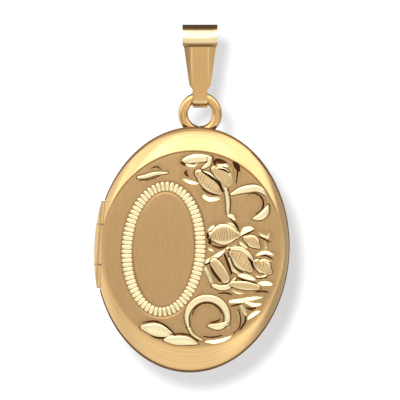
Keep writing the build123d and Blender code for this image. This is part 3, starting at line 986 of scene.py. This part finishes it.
# ---------------------------------------------------------------- the case's two shells
@dataclass
class Shell:
    """One pressed half of the case, in millimetres on the case's axes."""

    half_width: float = 7.9
    half_height: float = 10.0
    table_width: float = 7.46
    table_height: float = 8.1
    seam: float = 0.03
    band: float = 0.5
    shoulder: float = 1.15
    shoulder_bulge: float = 0.4
    shoulder_rings: int = 17
    edge_roll: float = 0.09
    crown: float = 0.31
    crown_flat: float = 0.3
    crown_turn: int = 6
    wall: float = 0.3
    ceiling_inset: tuple[float, float] = (0.5, 1.5)
    grid: int = 72
    hinge_x: float = -7.4
    hinge_end: float = 3.55
    middle_end: float = 1.59
    knuckle_gap: float = 0.09
    knuckle: float = 0.6
    knuckle_play: float = 0.06
    notch_x: float = -7.3
    notch_depth: float = 1.2
    # Turned lines on the shoulder, painted as highlight stripes.
    turned_highlight: float = 0.3
    turned_rate: float = 40.0
    turned_from: float = 0.2
    # Painted shade over the band and the seam, up to a little above the band.
    seam_shade: float = 0.9
    shade_top: float = 0.1
    outer_knuckles: bool = True

    def table_level(self, spots: np.ndarray) -> np.ndarray:
        """Height of the crowned table above the parting plane.

        Args:
            spots: Positions on the case's face, one row each.

        Returns:
            The height at each spot.
        """
        share = np.clip(np.hypot(spots[:, 0] / self.table_width, spots[:, 1] / self.table_height), 0, 1)
        turn = self.crown_turn
        rounded = (share**turn + self.crown_flat**turn) / (1 + self.crown_flat**turn)
        share = rounded ** (1 / turn)
        return self.band + self.shoulder + self.crown * (1 - share**2)

    def pillow(self) -> bmesh.types.BMesh:
        """Closed form of the shell: table, shoulder, band, inner wall and inner ceiling.

        Returns:
            The form in millimetres, above the parting plane.
        """
        bm = bmesh.new()
        bmesh.ops.create_grid(bm, x_segments=self.grid, y_segments=self.grid, size=1)
        border = {vert for vert in bm.verts if vert.is_boundary}
        for vert in bm.verts:
            x, y = vert.co.x, vert.co.y
            vert.co.x, vert.co.y = x * (1 - y * y / 2) ** 0.5, y * (1 - x * x / 2) ** 0.5
        ring = sorted(border, key=lambda vert: np.arctan2(vert.co.y, vert.co.x))
        turns = [(vert.co.x, vert.co.y) for vert in ring]
        sizes = (self.table_width, self.table_height)
        spots = np.array([vert.co.to_tuple()[:2] for vert in bm.verts]) * sizes
        for vert, spot, level in zip(bm.verts, spots, self.table_level(spots)):
            vert.co = (*spot, level)

        def rise(wide: float, tall: float, level: float) -> list[bmesh.types.BMVert]:
            """Grows the open edge to an oval of the given half-sizes at a level.

            Args:
                wide: Half-width of the oval.
                tall: Half-height of the oval.
                level: Its level.

            Returns:
                The new open edge.
            """
            corners = [Vector((wide * x, tall * y, level)) for x, y in turns]
            return grow_ring(bm, ring, lambda number, _: corners[number])

        bulge = self.shoulder_bulge
        for share in np.linspace(0.95, 0.15, self.shoulder_rings):
            ring = rise(
                self.half_width - (self.half_width - self.table_width) * share,
                self.half_height - (self.half_height - self.table_height) * share,
                self.band + self.shoulder * ((1 + bulge) * share - bulge * share**2),
            )
        inner_width, inner_height = self.half_width - self.wall, self.half_height - self.wall
        edge = self.edge_roll
        ring = rise(self.half_width - edge, self.half_height - 1.5 * edge, self.band + edge)
        ring = rise(self.half_width - 0.3 * edge, self.half_height - 0.3 * edge, self.band + 0.5 * edge)
        ring = rise(self.half_width, self.half_height, self.band - 0.3 * edge)
        ring = rise(self.half_width, self.half_height, self.seam + edge)
        ring = rise(self.half_width - edge, self.half_height - edge, self.seam)
        ring = rise(inner_width, inner_height, self.seam)
        ring = rise(inner_width, inner_height, self.band)
        inset_x, inset_y = self.ceiling_inset
        ring = rise(inner_width - inset_x, inner_height - inset_y, self.band + self.shoulder - self.wall)
        bmesh.ops.contextual_create(bm, geom=ring)
        bmesh.ops.recalc_face_normals(bm, faces=bm.faces)
        return bm

    def shade_seam(self, bm: bmesh.types.BMesh) -> bmesh.types.BMLayerItem:
        """Starts the tone attribute: turned lines painted as highlight stripes on the shoulder, and painted
        shade over the band and the seam.

        Args:
            bm: The shell in millimetres.

        Returns:
            The attribute's layer.
        """
        layer = bm.verts.layers.float_color.new("tone")
        for vert in bm.verts:
            height = vert.co.z - self.band
            # Painted shade over the band and the seam.
            shade_share = self.seam_shade if height < self.shade_top else 0.0
            # Turned lines on the shoulder, painted as highlight stripes.
            turned = 0.0
            if self.turned_from < height < self.shoulder - 0.02:
                turned = self.turned_highlight * max(0.0, sin(self.turned_rate * height))
            vert[layer] = (turned, shade_share, 0.0, 1.0)
        return layer

    def hinge_cutters(self) -> list[bmesh.types.BMesh]:
        """Notch at the hinge and the room for the knuckles.

        Returns:
            The forms to cut away.
        """
        end = self.hinge_end + self.knuckle_gap
        close, wide = self.knuckle, self.knuckle + self.knuckle_play
        middle, outer = (wide, close) if self.outer_knuckles else (close, wide)
        split = self.middle_end + self.knuckle_gap / 2
        return [
            boxed((self.notch_x - self.notch_depth, -end, -1), (self.notch_x, end, 3)),
            bar(middle, -split, split, self.hinge_x),
            bar(outer, self.middle_end, end, self.hinge_x),
            bar(outer, -end, -self.middle_end, self.hinge_x),
        ]


@dataclass
class FrontHalf(Shell):
    """Engraved cover: satin table with its floral spray and the fluted cartouche border."""

    outer_knuckles: bool = False
    opening_flat: float = 9.67
    slot_level: float = 0.28
    slot_radius: float = 4.0
    slot_depth: float = 0.18
    border_centre: tuple[float, float] = (-2.33, -0.08)
    border_outer: tuple[float, float] = (3.42, 5.48)
    border_inner: tuple[float, float] = (2.53, 4.72)
    bed_shares: tuple[float, float] = (0.96, 1.03)
    bed_soft: float = 0.02
    bed_depth: float = 0.05
    # Painted shade and satin share in the cartouche's sunk bed between the flutes.
    bed_shade_tone: tuple[float, float, float] = (0.0, 0.5, 0.3)
    flutes: int = 72
    flute_length: float = 0.88
    flute_shortening: float = 0.13
    flute_share: float = 0.87
    flute_height: float = 0.16
    flute_sink: float = 0.055
    flute_round: float = 0.32
    # Strength of the painted shade line along the table's edge.
    edge_shade: float = 0.8
    edge_limits: tuple[float, ...] = (0.16, 0.08, 0.043)
    height_step: float = 0.005
    bright_step: float = 0.3
    dark_step: float = 0.2
    touched: float = 0.004
    engraving: Engraving = field(default_factory=Engraving)

    def worked(self, spots: np.ndarray) -> tuple[np.ndarray, np.ndarray]:
        """Works the table: engraving, the cartouche's sunk bed with painted shade, and a painted shade line
        at the table's edge, stronger towards the top.

        Args:
            spots: Positions on the case's face, one row each.

        Returns:
            Height change in millimetres, and a row of painted highlight, painted shade and satin shares for
            each spot.
        """
        height, tone = self.engraving.apply(spots)
        offset = spots - np.array(self.border_centre)
        outer = np.hypot(offset[:, 0] / self.border_outer[0], offset[:, 1] / self.border_outer[1])
        inner = np.hypot(offset[:, 0] / self.border_inner[0], offset[:, 1] / self.border_inner[1])
        inmost, outmost = self.bed_shares
        bed = np.clip((outmost - outer) / self.bed_soft, 0, 1)
        bed = bed * np.clip((inner - inmost) / self.bed_soft, 0, 1)
        height = height * (1 - bed) - self.bed_depth * bed
        # Painted shade in the sunk bed.
        tone = tone * (1 - bed[:, None]) + np.array(self.bed_shade_tone) * bed[:, None]
        share = np.hypot(spots[:, 0] / self.table_width, spots[:, 1] / self.table_height)
        # Painted shade line just inside the table's edge, stronger towards the top.
        line = np.clip(1 - np.abs(share - 0.985) / 0.015, 0, 1)
        upper = np.clip(0.25 + spots[:, 1] / self.table_height, 0.1, 1)
        tone[:, Tone.DARK] = np.maximum(tone[:, Tone.DARK], self.edge_shade * line * upper)
        fade = np.clip((0.99 - share) / 0.03, 0, 1)
        tone[:, Tone.SATIN] = tone[:, Tone.SATIN] * fade
        return height * fade, tone

    def refine(self, bm: bmesh.types.BMesh) -> None:
        """Divides the table's faces where the graver has been.

        Args:
            bm: The shell in millimetres.
        """
        for level, limit in enumerate(self.edge_limits):
            edges = [
                edge for edge in bm.edges
                if all(face.normal.z > 0.9 for face in edge.link_faces)
                and edge.verts[0].co.z > self.band + self.shoulder - 0.01
                and edge.calc_length() > limit
            ]
            middles = np.array([((edge.verts[0].co + edge.verts[1].co) / 2).to_tuple()[:2] for edge in edges])
            ends = [np.array([edge.verts[index].co.to_tuple()[:2] for edge in edges]) for index in (0, 1)]
            readings = [np.column_stack(self.worked(spots)) for spots in (middles, *ends)]
            spread = np.max(readings, axis=0) - np.min(readings, axis=0)
            steps = np.array([self.height_step, self.bright_step, self.dark_step])
            worked = np.any(spread[:, [0, 1 + Tone.BRIGHT, 1 + Tone.DARK]] > steps, axis=1)
            if level < len(self.edge_limits) - 1:
                worked |= np.abs(readings[0][:, 0]) > self.touched
            chosen = [edge for edge, busy in zip(edges, worked) if busy]
            bmesh.ops.subdivide_edges(bm, edges=chosen, cuts=1, use_grid_fill=True)

    def build(self, axes: Axes, finishes: Finishes) -> None:
        """Makes the engraved cover and its border.

        Args:
            axes: The axes that the piece is built on.
            finishes: The finishes to choose from.
        """
        cutters = self.hinge_cutters()
        cutters.append(boxed((-9, self.opening_flat, -1), (9, 11, self.slot_level)))
        slot = bar(self.slot_radius, -1, self.slot_level, 0, steps=96)
        reach = self.half_width + self.slot_radius - self.slot_depth
        turn = Matrix.Translation((reach, 0, 0)) @ Matrix.Rotation(pi / 2, 4, "X")
        bmesh.ops.transform(slot, matrix=turn, verts=slot.verts)
        cutters.append(slot)
        bm = carve(self.pillow(), cutters)
        bmesh.ops.recalc_face_normals(bm, faces=bm.faces)
        self.refine(bm)
        bmesh.ops.triangulate(bm, faces=[face for face in bm.faces if len(face.verts) > 4])
        # Paints shade over the band and the seam, and highlight stripes on the shoulder.
        layer = self.shade_seam(bm)
        table = [
            vert for vert in bm.verts
            if vert.co.z > self.band + self.shoulder - 0.001 and hypot(vert.co.x, vert.co.y) < 9
            and hypot(vert.co.x / self.table_width, vert.co.y / self.table_height) < 1.001
        ]
        spots = np.array([vert.co.to_tuple()[:2] for vert in table])
        height, tone = self.worked(spots)
        level = self.table_level(spots)
        for vert, change, ground, shade in zip(table, height, level, tone):
            vert.co.z = ground + change
            vert[layer] = (*shade, 1.0)
        cover = piece_from(bm, "engraved_cover", axes.matrix())
        settle(cover, finishes.satin, "front_half", "satin_gold", "front_shell")
        border = piece_from(self.border(), "cartouche_border", axes.matrix(), sharp=60)
        settle(border, finishes.polished, "front_half", "satin_gold")

    def border(self) -> bmesh.types.BMesh:
        """Ring of raised flutes that lie across the cartouche's border, in millimetres, with a painted
        highlight all over.

        Returns:
            The flutes.
        """
        bm = bmesh.new()
        wide = (self.border_outer[0] + self.border_inner[0]) / 2
        tall = (self.border_outer[1] + self.border_inner[1]) / 2
        turns = np.linspace(0, tau, 1441)
        line = np.stack([wide * np.cos(turns), tall * np.sin(turns)], axis=1)
        lengths = np.concatenate([[0], np.cumsum(np.hypot(*np.diff(line, axis=0).T))])
        stations = np.interp(np.arange(self.flutes) * lengths[-1] / self.flutes, lengths, turns)
        pitch = lengths[-1] / self.flutes
        for turn in stations:
            x, y = wide * cos(turn), tall * sin(turn)
            facing = np.arctan2(wide * sin(turn), tall * cos(turn))
            span = self.flute_length - self.flute_shortening * sin(turn) ** 2
            spot = np.array([[x + self.border_centre[0], y + self.border_centre[1]]])
            level = float(self.table_level(spot)[0])
            made = bmesh.ops.create_cube(bm, size=1)["verts"]
            edges = list(dict.fromkeys(edge for vert in made for edge in vert.link_edges))
            rounded = bmesh.ops.bevel(
                bm, geom=edges, offset=self.flute_round, offset_type="OFFSET", segments=2, profile=0.5,
                affect="EDGES", material=-1,
            )["verts"]
            size = Matrix.Diagonal((span, self.flute_share * pitch, self.flute_height, 1))
            middle = Matrix.Translation((*spot[0], level - self.flute_sink))
            place = middle @ Matrix.Rotation(facing, 4, "Z") @ size
            bmesh.ops.transform(bm, matrix=place, verts=list(dict.fromkeys(rounded)))
        # The flutes carry a painted highlight all over.
        layer = bm.verts.layers.float_color.new("tone")
        for vert in bm.verts:
            vert[layer] = (1.0, 0.0, 0.0, 1.0)
        return bm


@dataclass
class BackHalf(Shell):
    """Plain polished back."""

    crown: float = 0.445
    crown_flat: float = 0.6

    def build(self, axes: Axes, finishes: Finishes) -> None:
        """Makes the back shell.

        Args:
            axes: The axes that the piece is built on.
            finishes: The finishes to choose from.
        """
        bm = carve(self.pillow(), self.hinge_cutters())
        # Paints shade over the band and the seam, and highlight stripes on the shoulder.
        self.shade_seam(bm)
        bmesh.ops.recalc_face_normals(bm, faces=bm.faces)
        back = piece_from(bm, "polished_back", axes.mirrored())
        settle(back, finishes.polished, "back_half", "polished_gold", "back_shell")


@dataclass
class Hinge:
    """The hinge's knuckles in their CAD shapes, drawn up until their ends all but meet."""

    split: float = 1.635
    end_gap: float = 0.03
    reach: float = 3.55
    # Painted shade runs a short way along each end where knuckles meet; the rest of each knuckle carries a
    # painted highlight.
    shade_length: float = 0.07
    end_search: float = 0.06
    end_shade: float = 0.95
    knuckle_highlight: float = 0.2

    def knuckles(self, node: str, axes: Axes, ends: tuple[float, ...]) -> bmesh.types.BMesh:
        """Copies a node's knuckles, moves their ends to the given heights and paints shade on them there.

        Args:
            node: The CAD node.
            axes: The case's axes.
            ends: Heights of the ends along the hinge, above and below the middle alike.

        Returns:
            The knuckles in millimetres.
        """
        bm = bmesh.new()
        bm.from_mesh(frame["nodes"][node].data)
        bmesh.ops.transform(bm, matrix=axes.matrix().inverted(), verts=bm.verts)
        bmesh.ops.remove_doubles(bm, verts=bm.verts, dist=0.0005)
        for vert in bm.verts:
            height = abs(vert.co.y)
            end = min(ends, key=lambda place: abs(place - height))
            if abs(end - height) < self.end_search:
                vert.co.y = end if vert.co.y > 0 else -end
        for end in ends:
            inward = self.shade_length if node == "back_knuckles" and end < self.reach else -self.shade_length
            for way in (-1, 1):
                bmesh.ops.bisect_plane(
                    bm, geom=[*bm.verts, *bm.edges, *bm.faces], dist=0.0001,
                    plane_co=(0, way * (end + inward), 0), plane_no=(0, 1, 0),
                )
        layer = bm.verts.layers.float_color.new("tone")
        for vert in bm.verts:
            # Painted shade at the ends where knuckles meet, painted highlight elsewhere.
            at_end = any(abs(abs(vert.co.y) - end) < 0.001 for end in ends)
            vert[layer] = (0.0, self.end_shade, 0.0, 1.0) if at_end else (self.knuckle_highlight, 0.0, 0.0, 1.0)
        return bm

    def build(self, axes: Axes, finishes: Finishes) -> None:
        """Makes the outer and the middle knuckles.

        Args:
            axes: The axes that the piece is built on.
            finishes: The finishes to choose from.
        """
        inner, outer = self.split - self.end_gap / 2, self.split + self.end_gap / 2
        middle = piece_from(self.knuckles("front_knuckle", axes, (inner,)), "middle_knuckle", axes.matrix())
        settle(middle, finishes.polished, "front_half", "polished_gold", "front_knuckle")
        shape = self.knuckles("back_knuckles", axes, (outer, self.reach))
        sides = piece_from(shape, "outer_knuckles", axes.matrix())
        settle(sides, finishes.polished, "back_half", "polished_gold", "back_knuckles")


# ---------------------------------------------------------------- ring and bail
@dataclass
class HangingRing:
    """Round wire ring, closed by a soldered seam where it enters the case."""

    radius: float = 1.38
    wire: float = 0.4
    seam_depth: float = 0.06
    seam_spread: float = 5.0
    # Painted shade where the ring runs into the case, darkest at its soldered seam.
    seam_shade: float = 0.8
    root_spread: float = 40.0
    root_shade: float = 0.5
    most_shade: float = 0.9

    def build(self, axes: Axes, finishes: Finishes) -> None:
        """Makes the ring on its own axes.

        Args:
            axes: The axes that the piece is built on.
            finishes: The finishes to choose from.
        """
        bm = bmesh.new()
        section = bmesh.ops.create_circle(
            bm, segments=32, radius=self.wire,
            matrix=Matrix.Translation((self.radius, 0, 0)) @ Matrix.Rotation(pi / 2, 4, "X"),
        )["verts"]
        edges = list(dict.fromkeys(edge for vert in section for edge in vert.link_edges))
        bmesh.ops.spin(
            bm, geom=list(section) + edges, cent=(0, 0, 0), axis=(0, 0, 1), angle=tau, steps=144,
            use_merge=True,
        )
        bmesh.ops.remove_doubles(bm, verts=bm.verts, dist=0.001)
        bmesh.ops.recalc_face_normals(bm, faces=bm.faces)
        layer = bm.verts.layers.float_color.new("tone")
        for vert in bm.verts:
            angle = degrees(np.arctan2(vert.co.y, vert.co.x))
            closeness = max(0.0, 1 - abs(angle + 90) / self.seam_spread)
            middle = Vector((vert.co.x, vert.co.y, 0)).normalized() * self.radius
            vert.co = middle + (vert.co - middle) * (1 - self.seam_depth * closeness / self.wire)
            # Painted shade where the ring runs into the case, darkest at its soldered seam.
            root = max(0.0, 1 - abs(angle + 90) / self.root_spread)
            shade_share = min(self.most_shade, self.seam_shade * closeness + self.root_shade * root)
            vert[layer] = (0.0, shade_share, 0.0, 1.0)
        ring = piece_from(bm, "wire_ring", axes.matrix())
        settle(ring, finishes.polished, "back_half", "polished_gold", "hanging_ring")


@dataclass
class Bail:
    """Strip folded round the chain passage, with bevelled leaves that narrow to the ring's eye."""

    chain_radius: float = 1.05
    eye_radius: float = 0.65
    strip: float = 0.28
    reach: float = 4.58
    band_width: float = 2.86
    leaf_width: float = 2.62
    neck_width: float = 1.74
    eye_width: float = 1.22
    band_low: float = -0.36
    neck_top: float = -3.63
    neck_slope: float = 0.3
    flat_width: float = 1.36
    facet_depth: float = 0.15
    band_step: float = 0.05
    edge_round: float = 0.04
    # Painted highlights on the softened edges, the band, the eye and the facet crests; none above crown_top.
    edge_highlight: float = 0.6
    band_highlight: float = 0.75
    eye_highlight: float = 0.5
    # Painted shade over the leaves and in the step under the band.
    leaf_shade: float = 0.17
    step_shade: float = 0.85
    crest: float = 0.1
    crest_highlight: float = 0.45
    crown_top: float = 0.8

    @property
    def leaf_top(self) -> float:
        """Height at which the band has narrowed to the leaf's width."""
        return self.band_low - (self.band_width - self.leaf_width) / 2

    def width_at(self, height: float) -> float:
        """Width of the strip at a height below the chain passage.

        Args:
            height: The height in millimetres.

        Returns:
            The width in millimetres.
        """
        heights = (self.neck_top - self.neck_slope, self.neck_top, self.leaf_top, self.band_low)
        widths = (self.eye_width, self.neck_width, self.leaf_width, self.band_width)
        return float(np.interp(height, heights, widths))

    def stations(self) -> list[tuple[Vector, Vector, bool]]:
        """Places along the folded strip, each with its outward direction and whether it is bevelled.

        Returns:
            Place, outward direction and whether it is bevelled, in order round the strip.
        """
        tilt = asin((self.chain_radius - self.eye_radius) / self.reach)
        eye = Vector((0, 0, -self.reach))
        middle = self.strip / 2
        places = []
        for step in range(25):
            angle = -tilt + (pi + 2 * tilt) * step / 24
            outward = Vector((0, cos(angle), sin(angle)))
            places.append((outward * (self.chain_radius + middle), outward, False))
        for way in (-1, 1):
            outward = Vector((0, way * cos(tilt), -sin(tilt)))
            top = outward * (self.chain_radius + middle)
            foot = eye + outward * (self.eye_radius + middle)
            levels = (
                self.band_low, self.band_low - 0.001, self.leaf_top, self.leaf_top - 0.08,
                self.leaf_top - 0.6, -2.0, self.neck_top, self.neck_top - self.neck_slope,
            )
            shares = [(height - top.z) / (foot.z - top.z) for height in levels]
            leaf = [(top.lerp(foot, share), outward, number > 0) for number, share in enumerate(shares)]
            if way < 0:
                places.extend(leaf)
                for step in range(17):
                    angle = pi + tilt + (pi - 2 * tilt) * step / 16
                    round_out = Vector((0, cos(angle), sin(angle)))
                    places.append((eye + round_out * (self.eye_radius + middle), round_out, True))
            else:
                places.extend(reversed(leaf))
        return places

    def section(self, place: Vector, outward: Vector, bevelled: bool) -> list[Vector]:
        """Corners of the strip's section at one station.

        Args:
            place: The station's place.
            outward: Its outward direction.
            bevelled: Whether its outer side is bevelled.

        Returns:
            The corners in order round the section.
        """
        half = self.width_at(place.z) / 2
        flat = min(self.flat_width / 2, half * 0.75)
        drop = 0.0
        if bevelled:
            drop = self.facet_depth * (half - flat) / (self.leaf_width / 2 - self.flat_width / 2)
        thick = self.strip / 2 - (self.band_step if bevelled else 0)
        inner = place - outward * self.strip / 2
        crest_drop = drop * self.crest / (half - flat)
        side = [(half, drop), (flat + self.crest, crest_drop), (flat, 0.0), (flat - self.crest, 0.0)]
        corners = [inner - Vector((half, 0, 0)), inner + Vector((half, 0, 0))]
        for way, run in ((1, side), (-1, reversed(side))):
            corners.extend(place + outward * (thick - fall) + Vector((way * x, 0, 0)) for x, fall in run)
        return corners

    def colour(self, bm: bmesh.types.BMesh, rounded_edges: set[bmesh.types.BMVert]) -> None:
        """Sets the tone attribute: painted highlight on the band, the eye, the facet crests and the softened
        edges; painted shade over the leaves and under the band.

        Args:
            bm: The strip in millimetres.
            rounded_edges: Points on its softened edges.
        """
        layer = bm.verts.layers.float_color.new("tone")
        for vert in bm.verts:
            height = vert.co.z
            # Painted highlight on the band and the eye, none above crown_top.
            bright = self.band_highlight if height > self.band_low - 0.0005 else 0.0
            if height < -self.reach - 0.3:
                bright = self.eye_highlight
            if height > self.crown_top:
                bright = 0.0
            # Painted shade over the leaves.
            dark = self.leaf_shade if height < self.leaf_top else 0.0
            flat = min(self.flat_width / 2, self.width_at(height) * 0.375)
            # Painted highlight along the facet crests, stronger on the left.
            if self.neck_top + 0.1 < height < self.leaf_top and abs(abs(vert.co.x) - flat) < 0.02:
                bright, dark = self.crest_highlight * (1.0 if vert.co.x < 0 else 0.6), 0.0
            # Painted shade in the step under the band.
            if self.leaf_top - 0.01 < height < self.band_low - 0.0005:
                dark = self.step_shade
            # Painted highlight along the softened edges.
            if vert in rounded_edges and dark < self.step_shade and height < self.crown_top:
                bright, dark = max(bright, self.edge_highlight), 0.0
            vert[layer] = (bright, dark, 0.0, 1.0)

    def build(self, axes: Axes, finishes: Finishes) -> None:
        """Makes the folded strip and softens its edges.

        Args:
            axes: The axes that the piece is built on.
            finishes: The finishes to choose from.
        """
        bm = bmesh.new()
        stations = self.stations()
        ring = [bm.verts.new(corner) for corner in self.section(*stations[0])]
        for first, second in zip(ring, ring[1:] + ring[:1]):
            bm.edges.new((first, second))
        for station in stations[1:] + stations[:1]:
            corners = self.section(*station)
            ring = grow_ring(bm, ring, lambda number, _, corners=corners: corners[number])
        bmesh.ops.remove_doubles(bm, verts=bm.verts, dist=0.0002)
        bmesh.ops.recalc_face_normals(bm, faces=bm.faces)
        crisp = [
            edge for edge in bm.edges
            if len(edge.link_faces) == 2 and edge.calc_face_angle(0) > radians(24)
        ]
        softened = bmesh.ops.bevel(
            bm, geom=crisp, offset=self.edge_round, offset_type="OFFSET", segments=2, profile=0.5,
            affect="EDGES", material=-1, clamp_overlap=True,
        )["verts"]
        self.colour(bm, set(softened))
        bail = piece_from(bm, "folded_bail", axes.matrix(), sharp=26)
        settle(bail, finishes.polished, "bail", "polished_gold", "bail")


# ---------------------------------------------------------------- studio
@dataclass
class Lobe:
    """Soft patch of light in the surroundings."""

    towards: tuple[float, float, float]
    near: float
    far: float
    strength: float


@dataclass
class Studio:
    """Pale sweep, surrounding light, key light and long-lens camera."""

    wall_y: float = 26.0
    floor_z: float = -34.0
    sweep_radius: float = 12.0
    spread: float = 600.0
    camera_distance: float = 400.0
    view_height: float = 32.6
    view_level: float = -12.97
    ambient: float = 0.5
    darkest: float = 0.12
    backdrop: float = 0.98
    paper: tuple[float, float] = (0.6, 0.63)
    key_energy: float = 0.85
    key_size: float = 18.0
    key_distance: float = 300.0
    lobes: tuple[Lobe, ...] = (
        Lobe((-0.1, -0.68, 0.73), 19, 35, 1.3),
        Lobe((0.66, -0.25, 0.71), 14, 40, 1.2),
        Lobe((-0.71, -0.36, 0.6), 18, 42, 0.85),
        Lobe((0.0, -0.35, -0.94), 25, 70, 0.5),
        Lobe((-0.85, 0.45, 0.1), 20, 65, 0.5),
        Lobe((0.05, -1.0, 0.12), 2, 48, 0.42),
        Lobe((0.75, -0.45, -0.48), 12, 40, 0.4),
        Lobe((0.0, 0.68, 0.73), 24, 54, -0.5),
    )

    def sweep(self) -> None:
        """Pale floor that turns up into a wall behind the locket, seen from its front faces only."""
        bm = bmesh.new()
        wall, floor, bend = self.wall_y, self.floor_z, self.sweep_radius
        start = bm.verts.new((-self.spread, -self.spread, floor))
        end = bm.verts.new((self.spread, -self.spread, floor))
        edge = bm.edges.new((start, end))
        profile = [(wall - bend, floor)]
        for step in range(1, 17):
            angle = pi / 2 * step / 16
            profile.append((wall - bend + bend * sin(angle), floor + bend - bend * cos(angle)))
        profile.append((wall, self.spread))
        for y, z in profile:
            made = bmesh.ops.extrude_edge_only(bm, edges=[edge])["geom"]
            edge = next(
                item for item in made
                if isinstance(item, bmesh.types.BMEdge) and all(vert in made for vert in item.verts)
            )
            for vert in edge.verts:
                vert.co.y, vert.co.z = y, z
        bmesh.ops.recalc_face_normals(bm, faces=bm.faces)
        bm.faces.ensure_lookup_table()
        if bm.faces[0].normal.z < 0:
            bmesh.ops.reverse_faces(bm, faces=bm.faces)
        place = Matrix.Scale(MM, 4)
        sweep = piece_from(bm, "pale_sweep", place, sharp=60)
        material, nodes, shader = new_material("pale_paper")
        shader.inputs["Roughness"].default_value = 0.9
        shader.inputs["Specular IOR Level"].default_value = 0.0
        fibres = nodes.noise(900.0, 3.0)
        dark, pale = ((shade, shade, shade, 1) for shade in self.paper)
        nodes.link(nodes.blend(fibres, dark, pale), shader.inputs["Base Color"])
        side = nodes.add("ShaderNodeNewGeometry")
        clear = nodes.add("ShaderNodeBsdfTransparent")
        mix = nodes.add("ShaderNodeMixShader")
        nodes.link(side.outputs["Backfacing"], mix.inputs["Fac"])
        nodes.link(shader.outputs["BSDF"], mix.inputs[1])
        nodes.link(clear.outputs["BSDF"], mix.inputs[2])
        nodes.link(mix.outputs["Shader"], material.node_tree.nodes["Material Output"].inputs["Surface"])
        sweep.data.materials.append(material)
        sweep.visible_glossy = False

    def surroundings(self) -> None:
        """White backdrop for the eye, and a soft studio for whatever the metal mirrors."""
        world = bpy.data.worlds.new("studio")
        bpy.context.scene.world = world
        world.use_nodes = True
        nodes = Nodes(world.node_tree)
        backdrop = world.node_tree.nodes["Background"]
        backdrop.inputs["Color"].default_value = (1.0, 1.0, 1.0, 1.0)
        place = nodes.add("ShaderNodeTexCoord")
        light: object = self.ambient
        for lobe in self.lobes:
            product = nodes.add("ShaderNodeVectorMath", operation="DOT_PRODUCT")
            nodes.link(place.outputs["Generated"], product.inputs[0])
            product.inputs[1].default_value = Vector(lobe.towards).normalized()
            ramp = nodes.add("ShaderNodeMapRange", interpolation_type="SMOOTHSTEP")
            ramp.inputs["From Min"].default_value = cos(radians(lobe.far))
            ramp.inputs["From Max"].default_value = cos(radians(lobe.near))
            ramp.inputs["To Min"].default_value = 0.0
            ramp.inputs["To Max"].default_value = lobe.strength
            nodes.link(product.outputs["Value"], ramp.inputs["Value"])
            light = nodes.math("ADD", light, ramp.outputs["Result"])
        light = nodes.math("MAXIMUM", light, self.darkest)
        seen = nodes.add("ShaderNodeLightPath")
        strength = nodes.between(seen.outputs["Is Camera Ray"], light, self.backdrop)
        nodes.link(strength, backdrop.inputs["Strength"])

    def key_light(self) -> None:
        """Small soft light at the upper left that lays the shadow to the lower right."""
        data = bpy.data.lights.new("key", "AREA")
        data.shape = "DISK"
        data.size = self.key_size * MM
        data.energy = self.key_energy
        key = bpy.data.objects.new("key", data)
        bpy.context.scene.collection.objects.link(key)
        aim = Vector((0, 0, self.view_level)) * MM
        towards = Vector((-0.04, -1.0, 0.05)).normalized()
        key.location = aim + towards * self.key_distance * MM
        key.rotation_euler = (-towards).to_track_quat("-Z", "Y").to_euler()
        key.visible_glossy = False
        key.visible_camera = False

    def camera(self) -> None:
        """Long-lens camera that looks straight at the hanging locket."""
        data = bpy.data.cameras.new("camera")
        data.sensor_width = 36.0
        data.lens = data.sensor_width * self.camera_distance / self.view_height
        data.clip_start = 10 * MM
        data.clip_end = 4.0
        camera = bpy.data.objects.new("camera", data)
        bpy.context.scene.collection.objects.link(camera)
        camera.location = Vector((0, -self.camera_distance, self.view_level)) * MM
        camera.rotation_euler = (pi / 2, 0, 0)
        bpy.context.scene.camera = camera

    def build(self) -> None:
        """Sets the stage, the light and the camera."""
        self.sweep()
        self.surroundings()
        self.key_light()
        self.camera()
        bpy.context.scene.view_settings.view_transform = "Standard"


# ---------------------------------------------------------------- assembly
def case_axes() -> Axes:
    """Axes of the case on its parting plane, from the two joints.

    Returns:
        The case's axes.
    """
    swing, hinge = joint("pendant_swing"), joint("cover_hinge")
    right = Vector(swing["axis"]).normalized()
    up = -Vector(hinge["axis"]).normalized()
    centre = Vector(hinge["pos_m"]) - right * Shell.hinge_x * MM
    return Axes(centre, right, up, right.cross(up))


def ring_axes(case: Axes) -> Axes:
    """Axes of the hanging ring: its own centre, turned with the case.

    Args:
        case: Axes of the case.

    Returns:
        The ring's axes.
    """
    low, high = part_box("hanging_ring")
    return Axes((low + high) / 2, case.right, case.up, case.front)


def dress(finishes: Finishes) -> None:
    """Gives the CAD nodes that stay their finishes.

    Args:
        finishes: The finishes to give.
    """
    wanted = {
        finishes.polished: ("hinge_pin",),
        finishes.inner: ("back_rim", "front_rim", "snap_bezel", "back_picture_frame", "front_picture_frame"),
        finishes.acetate: ("back_window", "front_window"),
        finishes.card: ("back_picture", "front_picture"),
    }
    for name in wanted[finishes.acetate]:
        frame["nodes"][name].visible_shadow = False
    for material, names in wanted.items():
        for name in names:
            mesh = frame["nodes"][name].data
            mesh.materials.clear()
            mesh.materials.append(material)
            log.info("%s keeps its shape and takes %s", name, material.name)


def main() -> None:
    """Builds the locket's looks round its frame."""
    logging.basicConfig(level=logging.INFO, format="%(message)s")
    Studio().build()
    finishes = Finishes()
    case = case_axes()
    dress(finishes)
    FrontHalf().build(case, finishes)
    BackHalf().build(case, finishes)
    Hinge().build(case, finishes)
    HangingRing().build(ring_axes(case), finishes)
    world = Axes(Vector((0, 0, 0)), Vector((1, 0, 0)), Vector((0, 1, 0)), Vector((0, 0, 1)))
    Bail().build(world, finishes)


if __name__ == "__main__":
    main()
